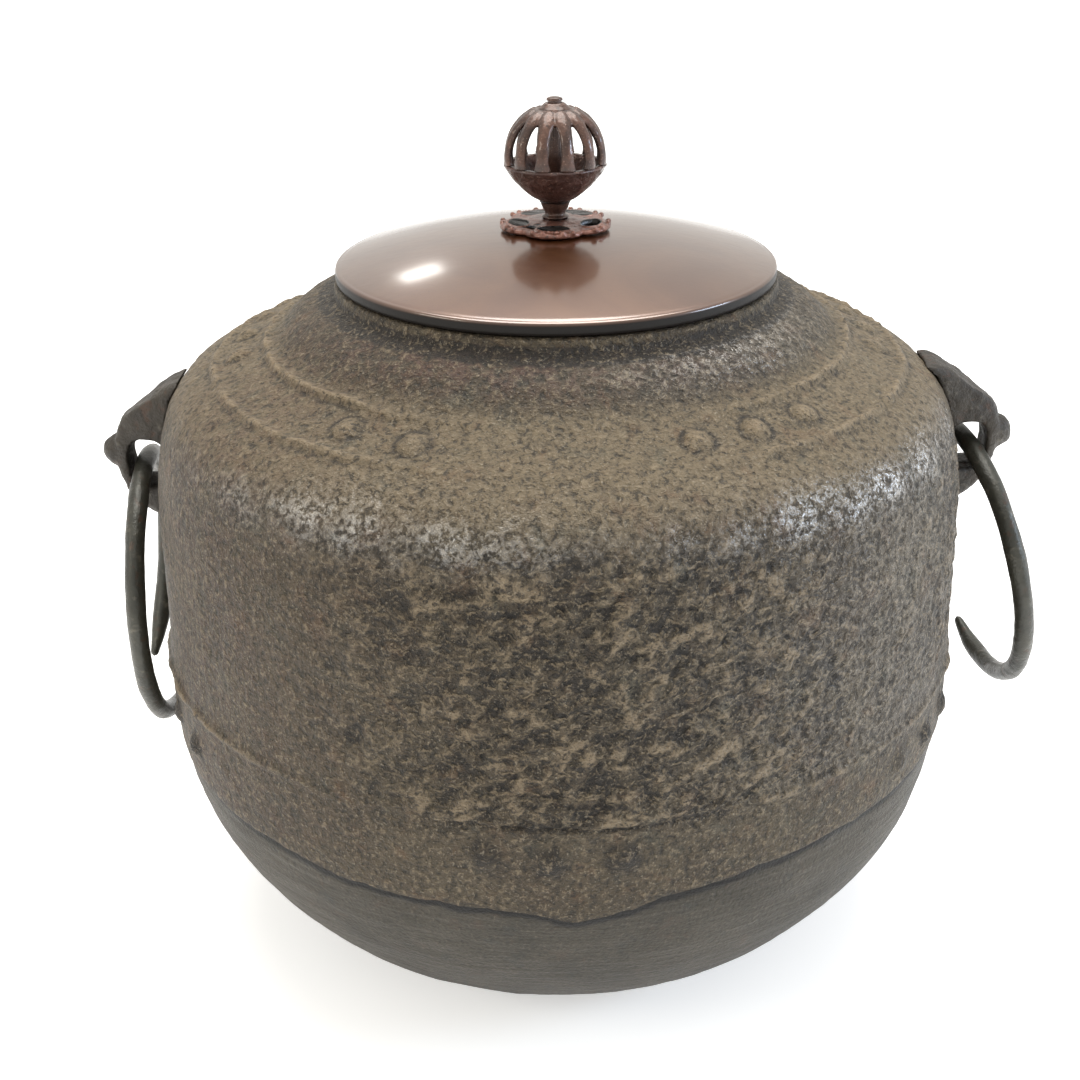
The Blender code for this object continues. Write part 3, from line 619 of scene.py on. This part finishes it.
def kettle_bottom(mat):
    """The bottom, dressed in strokes, with the rim that reaches up inside the body."""
    around = 480
    outer = curve_through(BOTTOM_LINE)
    seam = [np.interp(h, outer[:, 1], lengths(outer)) for h in (0.066, 0.071)]
    outer = resample(outer, 1.9 * MM, seam, 3.0, 5 * MM)
    points = turned(outer, around)
    rise = smooth(0.0, 0.006, outer[:, 1])[:, None]
    strokes = field(points, np.array((16, 16, 1.6)) * MM, 3, 2.5)
    amount = rise * (0.12 * MM * strokes + 0.45 * MM * field(points, 30 * MM, 2, 6.6)
                     + 0.10 * MM * field(points, 5 * MM, 3, 3.1))
    amount = amount * (1 - smooth(0.072, 0.077, outer[:, 1])[:, None])
    points = pushed(points, outward(outer), amount)
    rim_r = 0.1170
    inner = resample(curve_through(BOTTOM_LINE[2:10]), 6 * MM)
    inner = inner - outward(inner) * WALL
    inner = inner[inner[:, 0] < rim_r - WALL - 0.5 * MM]
    inside = turned(np.array([(rim_r, SKIRT_TOP_Z - 0.5 * MM), (rim_r, SEAM_Z + 14 * MM),
                              (rim_r - WALL, SEAM_Z + 14 * MM), (rim_r - WALL, SEAM_Z - 8 * MM),
                              *inner[::-1], (0.025, WALL), (0.0005, WALL)]), around)
    below = hem_height(turned(np.array(BODY_LINE[:1]), around)[0])[None, :] - points[..., 2]
    below = below + 0.5 * MM * field(points, 3.5 * MM, 2, 8.8)
    shade = 1 - smooth(2.4 * MM, 3.8 * MM, below)
    values = {"under_hem": np.concatenate([shade, np.zeros((len(inside), around))])}
    mesh = grid_mesh("iron_bottom", np.concatenate([points, inside]), caps=(True, True), values=values)
    return make_object("iron_bottom", mesh, mat, "kettle", "kettle_bottom")


# ---------------------------------------------------------------- lugs and rings
def lug(side, mat):
    """The CAD's loop under one softened, slightly uneven cast skin."""
    mesh = remeshed(f"cast_loop_{side}", cad_copy(f"lug_{side}"), 0.55 * MM, 16)
    moved_by_noise(mesh, 5 * MM, 0.40 * MM, 1.5, 3)
    return make_object(f"cast_loop_{side}", mesh, mat, "kettle", f"lug_{side}")


RING_R = 41.0 * MM
RING_WIRE_R = 2.9 * MM
RING_TIP_R = 1.2 * MM
RING_TAPER = 20 * MM
# hinge point in the loop, turn about Z, lean about the hinge, roll through the loop, where the
# wire starts and ends in degrees from the top, and the sideways offset of one full turn
RINGS = {
    "left": ((-0.1273, 0.0, 0.1462), 2.4, 2.9, 0.0, (-155.0, 180.0), 12.5 * MM),
    "right": ((0.1253, 0.0, 0.1518), 9.0, 10.8, 7.9, (-126.0, 208.0), 1.0 * MM),
}


def carrying_ring(side, mat):
    """Hand-forged open ring: a wire that is never quite round, drawn out at both ends."""
    hinge, turn, lean, roll, ends, offset = RINGS[side]
    steps, around = 260, 22
    roll = math.radians(roll)
    a = np.radians(np.linspace(*ends, steps))
    centre = np.stack([offset * (a - roll) / (2 * math.pi), -RING_R * (np.sin(a) - math.sin(roll)),
                       RING_R * (np.cos(a) - math.cos(roll))], -1)
    tangent = np.gradient(centre, axis=0)
    tangent /= np.linalg.norm(tangent, axis=1)[:, None]
    sideways = np.cross(tangent, np.stack([0 * a, -np.sin(a), np.cos(a)], -1))
    sideways /= np.linalg.norm(sideways, axis=1)[:, None]
    out = np.cross(sideways, tangent)
    from_end = RING_R * np.minimum(a - a[0], a[-1] - a)
    share = np.sin(np.clip(from_end / RING_TAPER, 0, 1) * math.pi / 2)
    radius = RING_TIP_R + (RING_WIRE_R - RING_TIP_R) * share
    nose = np.sqrt(np.clip(from_end / (1.2 * MM), 0.02, 1))
    b = np.linspace(0, 2 * math.pi, around, endpoint=False)
    section = np.stack([np.cos(b), np.sin(b)], -1)
    facets = 1 + 0.02 * np.cos(4 * b)[None, :] + 0.03 * np.sin(9 * a)[:, None] * np.cos(2 * b)[None, :]
    reach = (radius * nose)[:, None] * facets
    points = (centre[:, None, :] + out[:, None, :] * (reach * section[:, 0])[..., None]
              + sideways[:, None, :] * (reach * section[:, 1])[..., None])
    direction = points - centre[:, None, :]
    points += direction * (0.055 * field(points, 7 * MM, 3, 3.0))[..., None]
    pose = (Matrix.Translation(hinge) @ Matrix.Rotation(math.radians(turn), 4, "Z")
            @ Matrix.Rotation(math.radians(lean if side == "left" else -lean), 4, "Y"))
    mesh = grid_mesh(f"open_ring_{side}", points, caps=(True, True))
    mesh.transform(pose)
    return make_object(f"open_ring_{side}", mesh, mat, f"{side}_ring", f"ring_{side}")


# ---------------------------------------------------------------- lid and knob
def lid(mat):
    """Low dome with a turned edge; its side attribute darkens the rim, underside and centre."""
    around, dome_rows = 300, 56
    edge_z = LID_LOW.z + 3.4 * MM
    radii = np.linspace(0.0005, LID_R - 1.6 * MM, dome_rows)
    dome = np.column_stack([radii, edge_z + (LID_HIGH.z - edge_z) * (1 - (radii / LID_R) ** 2)])
    rim = np.array([(LID_R - 1.1 * MM, edge_z + 0.25 * MM), (LID_R - 0.6 * MM, edge_z + 0.20 * MM),
                    (LID_R - 0.15 * MM, edge_z - 0.15 * MM), (LID_R, edge_z - 0.8 * MM),
                    (LID_R, LID_LOW.z + 1.0 * MM), (LID_R - 0.1 * MM, LID_LOW.z + 0.4 * MM),
                    (LID_R - 0.6 * MM, LID_LOW.z), (0.0600, LID_LOW.z), (0.0572, LID_LOW.z + 0.1 * MM)])
    low_radii = np.linspace(0.0560, 0.0005, 26)
    low_top, low_edge = LID_HIGH.z - 3.0 * MM, edge_z - 3.0 * MM
    under = np.column_stack([low_radii, low_edge + (low_top - low_edge) * (1 - (low_radii / LID_R) ** 2)])
    line = np.vstack([dome, rim, under])
    points = turned(line, around)
    waves = field(points[:dome_rows], 38 * MM, 2, 5.5) * smooth(0, 0.01, radii)[:, None]
    points[:dome_rows, :, 2] += 0.10 * MM * waves
    side = (line[:, 0] < 0.8 * (SEAT_HIGH.x - SEAT_LOW.x) / 2) * 1.0
    side[dome_rows + 3:] = 1.0
    side[dome_rows + 2] = 0.35
    values = {"side": np.repeat(side[:, None], around, 1)}
    mesh = grid_mesh("bronze_lid", points, caps=(True, True), values=values)
    return make_object("bronze_lid", mesh, mat, "lid", "lid_plate")


def in_petal_hole(spot, first):
    """Below 1 inside the oval hole of a petal."""
    far = math.hypot(spot.x, spot.y)
    off = math.radians((math.degrees(math.atan2(spot.y, spot.x)) - first + 36) % 72 - 36)
    return ((far * math.cos(off) - 10.9 * MM) / (2.6 * MM)) ** 2 + (far * math.sin(off) / (4.2 * MM)) ** 2


def cut_petal_holes(mesh, first):
    """Opens a hole in each petal by taking out the faces inside it and walling its edge."""
    bm = bmesh.new()
    bm.from_mesh(mesh)
    gone = [face for face in bm.faces if in_petal_hole(face.calc_center_median(), first) < 1]
    bmesh.ops.delete(bm, geom=gone, context="FACES")
    open_edges = [edge for edge in bm.edges if edge.is_boundary]
    bmesh.ops.bridge_loops(bm, edges=open_edges)
    bm.to_mesh(mesh)
    bm.free()
    shade = [float(in_petal_hole(vert.co, first) < 1.25) for vert in mesh.vertices]
    mesh.attributes.new("shade", "FLOAT", "POINT").data.foreach_set("value", shade)


def knob_seat(mat):
    """Low pierced rosette cast on the lid: five petals with rimmed holes and beads in front."""
    around, first = 160, -93.0
    low, high = SEAT_LOW.z, SEAT_HIGH.z
    reach = SEAT_HIGH.x - SEAT_LOW.x
    a = np.radians(np.linspace(0, 360, around, endpoint=False))
    petal = np.abs(np.cos(2.5 * (a - math.radians(first)))) ** 0.55
    edge = 1.09 * reach / 2 * (0.84 + 0.17 * petal)
    rows = []
    outline = ((0.22, low - 0.2 * MM), (0.97, low - 0.5 * MM), (1.0, low + 0.2 * MM),
               (0.96, low + 0.9 * MM), (0.86, low + 1.1 * MM), (0.55, high - 0.6 * MM),
               (0.32, high - 0.1 * MM), (0.22, high - 0.1 * MM), (0.22, low - 0.2 * MM))
    for share, height in outline:
        rows.append(np.stack([share * edge * np.cos(a), share * edge * np.sin(a), height + 0 * a], -1))
    bm = bmesh.new()
    plate = grid_mesh("plate", np.array(rows))
    bm.from_mesh(plate)
    bpy.data.meshes.remove(plate)
    for k in range(5):
        middle = math.radians(first + 72 * k)
        for step in range(26):
            b = 2 * math.pi * step / 26
            out, side = 10.9 * MM + 3.2 * MM * math.cos(b), 4.8 * MM * math.sin(b)
            spot = Vector((out * math.cos(middle) - side * math.sin(middle),
                           out * math.sin(middle) + side * math.cos(middle), low + 1.05 * MM))
            bmesh.ops.create_icosphere(bm, subdivisions=1, radius=0.62 * MM, matrix=Matrix.Translation(spot))
        for turn in (-22, -11, 11, 22):
            b = middle + math.radians(turn)
            far = 15.4 * MM
            spot = Vector((far * math.cos(b), far * math.sin(b), low + 0.9 * MM))
            bmesh.ops.create_icosphere(bm, subdivisions=2, radius=0.85 * MM, matrix=Matrix.Translation(spot))
    mesh = remeshed("knob_rosette", bm, 0.28 * MM, 3)
    cut_petal_holes(mesh, first)
    moved_by_noise(mesh, 2.2 * MM, 0.14 * MM, 0.7)
    return make_object("knob_rosette", mesh, mat, "lid", "knob_seat")


def knob_stem(mat):
    """Short waisted stem between rosette and bowl."""
    low, high = STEM_LOW.z, STEM_HIGH.z
    line = curve_through([(0.0008, low), (0.0036, low), (0.0038, low + 0.3 * MM), (0.0031, low + 0.8 * MM),
                          (0.0031, low + 1.6 * MM), (0.0036, high - 1.8 * MM), (0.0042, high - 0.3 * MM),
                          (0.0042, high), (0.0008, high)], 6)
    points = turned(line, 64)
    points += (0.18 * MM * field(points, 2.4 * MM, 3, 1.1))[..., None] * (1, 1, 0)
    mesh = grid_mesh("knob_foot", points, caps=(True, True))
    return make_object("knob_foot", mesh, mat, "lid", "knob_stem")


def knob_cup(mat):
    """Rough cast bowl, hollow above."""
    low, high = CUP_LOW.z, CUP_HIGH.z
    outer = curve_through([(0.0044, low), (0.0062, low + 0.9 * MM), (0.0086, low + 2.7 * MM),
                           (0.0109, low + 4.9 * MM), (0.0129, low + 7.2 * MM), (0.0142, high - 1.3 * MM),
                           (0.0147, high - 0.5 * MM), (0.0145, high)], 8)
    inner = [(0.0128, high), (0.0120, high - 2.2 * MM), (0.0098, high - 5.4 * MM), (0.0060, low + 2.6 * MM),
             (0.0008, low + 2.3 * MM)]
    points = turned(np.vstack([[(0.0008, low)], outer, inner]), 120)
    rough = field(points, 1.9 * MM, 3, 6.0) + 0.5 * field(points, 4.5 * MM, 2, 2.0)
    points *= 1 + np.stack([rough * 0.020, rough * 0.020, 0 * rough], -1)
    mesh = grid_mesh("knob_bowl", points, caps=(True, True))
    return make_object("knob_bowl", mesh, mat, "lid", "knob_cup")


def add_grid(bm, points):
    """Adds a closed tube of points[row, around], with flat ends, to bm."""
    rows = [[bm.verts.new(p) for p in row] for row in points.tolist()]
    for low, high in zip(rows, rows[1:]):
        for k in range(len(low)):
            j = (k + 1) % len(low)
            bm.faces.new((low[k], low[j], high[j], high[k]))
    bm.faces.new(reversed(rows[0]))
    bm.faces.new(rows[-1])


def knob_cage(mat):
    """Twelve ribs that spring from wide feet on the bowl's rim and spread into a small crown."""
    ball_r = (CAGE_HIGH.x - CAGE_LOW.x) / 2 + 0.6 * MM
    centre_z = CAGE_LOW.z + 1.4 * MM
    rise = np.radians(np.linspace(-7.0, 66.0, 40))
    half = np.interp(np.degrees(rise), (-7, -3, 3, 25, 38, 48, 56, 66),
                     (2.5, 2.2, 1.9, 1.7, 1.8, 2.3, 2.3, 1.9))
    b = np.linspace(0, 2 * math.pi, 20, endpoint=False)
    bm = bmesh.new()
    for k in range(12):
        turn = math.radians(15 + 30 * k)
        radial = (ball_r - 1.25 * MM) + 1.2 * MM * np.sin(b)[None, :] + 0 * rise[:, None]
        across = half[:, None] * MM * np.cos(b)[None, :] * (0.93 + 0.07 * np.cos(2 * b))[None, :]
        flat = radial * np.cos(rise)[:, None]
        x = flat * math.cos(turn) - across * math.sin(turn)
        y = flat * math.sin(turn) + across * math.cos(turn)
        z = centre_z + radial * np.sin(rise)[:, None]
        add_grid(bm, np.stack([x, y, z], -1))
    t = np.radians((47.0, 53.0, 59.0, 65.0, 71.0))
    shell = np.column_stack([np.cos(t), np.sin(t)])
    crown = np.vstack([shell * (ball_r - 0.7 * MM), shell[::-1] * (ball_r - 2.3 * MM)]) + (0, centre_z)
    rows = turned(np.vstack([crown, crown[:1]]), 72)
    grid = grid_mesh("crown", rows)
    bm.from_mesh(grid)
    bpy.data.meshes.remove(grid)
    mesh = remeshed("knob_ribs", bm, 0.25 * MM, 5)
    moved_by_noise(mesh, 2.4 * MM, 0.07 * MM, 2.7)
    return make_object("knob_ribs", mesh, mat, "lid", "knob_cage")


def knob_cap(mat):
    """Small conical washer under the riveted head."""
    low, high = CAP_LOW.z, CAP_HIGH.z
    line = curve_through([(0.0008, low), (0.0040, low), (0.0046, low + 0.2 * MM), (0.0045, low + 0.5 * MM),
                          (0.0036, high - 0.9 * MM), (0.0025, high - 0.1 * MM), (0.0008, high)], 6)
    points = turned(line, 60)
    points += (0.15 * MM * field(points, 2 * MM, 3, 4.0))[..., None] * (1, 1, 0)
    mesh = grid_mesh("knob_collar", points, caps=(True, True))
    return make_object("knob_collar", mesh, mat, "lid", "knob_cap")


def knob_spindle(mat):
    """The rod, hammered over at the top, seen between the ribs."""
    top, foot = HEAD_HIGH.z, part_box("knob_spindle")[0].z
    line = curve_through([(0.0004, foot), (0.0030, foot + 0.5 * MM), (0.0033, foot + 1.5 * MM),
                          (0.0021, foot + 1.9 * MM), (0.0021, 0.2300), (0.0020, 0.2400),
                          (0.0019, CAP_HIGH.z), (0.0023, CAP_HIGH.z + 0.5 * MM),
                          (0.0021, top - 0.35 * MM), (0.0011, top - 0.05 * MM), (0.0004, top)], 6)
    points = turned(line, 48)
    points += (0.12 * MM * field(points, 1.8 * MM, 3, 9.0))[..., None] * (1, 1, 0)
    mesh = grid_mesh("knob_rod", points, caps=(True, True))
    return make_object("knob_rod", mesh, mat, "lid", "knob_spindle")


def refinish(node, mat):
    """A CAD node that keeps its shape and gets a better material."""
    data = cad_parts[node].data
    data.shade_smooth()
    data.set_sharp_from_angle(angle=math.radians(35))
    data.materials.clear()
    data.materials.append(mat)


# ---------------------------------------------------------------- floor, light, camera
def floor():
    """Plain pale floor, just under the kettle so that the flat base doesn't touch it."""
    mesh = bpy.data.meshes.new("floor")
    side = 40.0
    corners = [(-side, -side, 0), (side, -side, 0), (side, side, 0), (-side, side, 0)]
    mesh.from_pydata(corners, [], [(0, 1, 2, 3)])
    mesh.materials.append(pale_floor("floor"))
    item = bpy.data.objects.new("floor", mesh)
    item.location.z = -0.3 * MM
    bpy.context.scene.collection.objects.link(item)


def window(name, direction, distance, size, radiance, colour):
    """A soft rectangular light that looks at the kettle from a direction."""
    data = bpy.data.lights.new(name, "AREA")
    data.shape = "RECTANGLE"
    data.size, data.size_y = size
    data.energy = radiance * math.pi * size[0] * size[1]
    data.color = colour
    item = bpy.data.objects.new(name, data)
    away = Vector(direction).normalized()
    item.location = Vector((0, 0, 0.15)) + away * distance
    item.rotation_euler = away.to_track_quat("Z", "Y").to_euler()
    bpy.context.scene.collection.objects.link(item)


def studio():
    """White room, one light overhead, a warm window on the left and a cool one on the right."""
    world = bpy.data.worlds.new("white_room")
    world.use_nodes = True
    world.node_tree.nodes["Background"].inputs["Color"].default_value = (1.0, 0.98, 0.93, 1.0)
    world.node_tree.nodes["Background"].inputs["Strength"].default_value = 0.88
    bpy.context.scene.world = world
    window("overhead", (0.0, 0.25, 1.0), 1.4, (1.2, 1.0), 6.6, (1.0, 0.98, 0.94))
    window("window_left", (-0.76, -0.40, 0.48), 2.0, (0.9, 0.22), 11.0, (1.0, 0.95, 0.82))
    window("window_right", (0.95, -0.10, 0.33), 2.0, (0.8, 0.35), 21.0, (0.66, 0.80, 1.0))
    window("window_back", (-0.23, 0.85, 0.50), 2.0, (0.13, 0.15), 8.0, (1.0, 0.98, 0.93))
    bpy.context.scene.view_settings.view_transform = "Standard"


def camera():
    """Looks down at the front as the photograph does."""
    data = bpy.data.cameras.new("camera")
    data.sensor_width = 36.0
    data.lens = 53.33
    data.clip_start, data.clip_end = 0.05, 50.0
    item = bpy.data.objects.new("camera", data)
    tilt = (Matrix.Rotation(math.radians(0.691), 4, "Z") @ Matrix.Rotation(math.radians(65.113), 4, "X")
            @ Matrix.Rotation(math.radians(-0.671), 4, "Z"))
    item.matrix_world = Matrix.Translation((0.0, -0.4588, 0.3315)) @ tilt
    bpy.context.scene.collection.objects.link(item)
    bpy.context.scene.camera = item


# ---------------------------------------------------------------- the whole scene
knob_metal = old_bronze("knob_bronze")
kettle_body(cast_iron("cast_iron_skin"))
kettle_bottom(scraped_iron("dressed_iron"))
loop_iron = forged_iron("loop_iron", srgb(42, 37, 31), srgb(56, 50, 42), 0.45, 0.62, 3.0)
ring_iron = forged_iron("ring_iron", srgb(48, 48, 42), srgb(60, 59, 51), 0.30, 0.48)
for hand in ("left", "right"):
    lug(hand, loop_iron)
    carrying_ring(hand, ring_iron)
lid(lid_bronze("lid_bronze"))
knob_seat(old_bronze("rosette_bronze", 0.4, srgb(96, 60, 48), srgb(132, 88, 74)))
knob_stem(knob_metal)
knob_cup(old_bronze("bowl_bronze", 1.0, srgb(60, 36, 30), srgb(80, 52, 44), 1.1 * MM))
knob_cage(knob_metal)
knob_cap(knob_metal)
knob_spindle(knob_metal)
refinish("lid_flange", old_bronze("flange_bronze"))
refinish("lid_washer", knob_metal)
plate_lacquer = black_lacquer("plate_lacquer")
for number in (1, 2, 3):
    refinish(f"sound_plate_{number}", plate_lacquer)
floor()
studio()
camera()
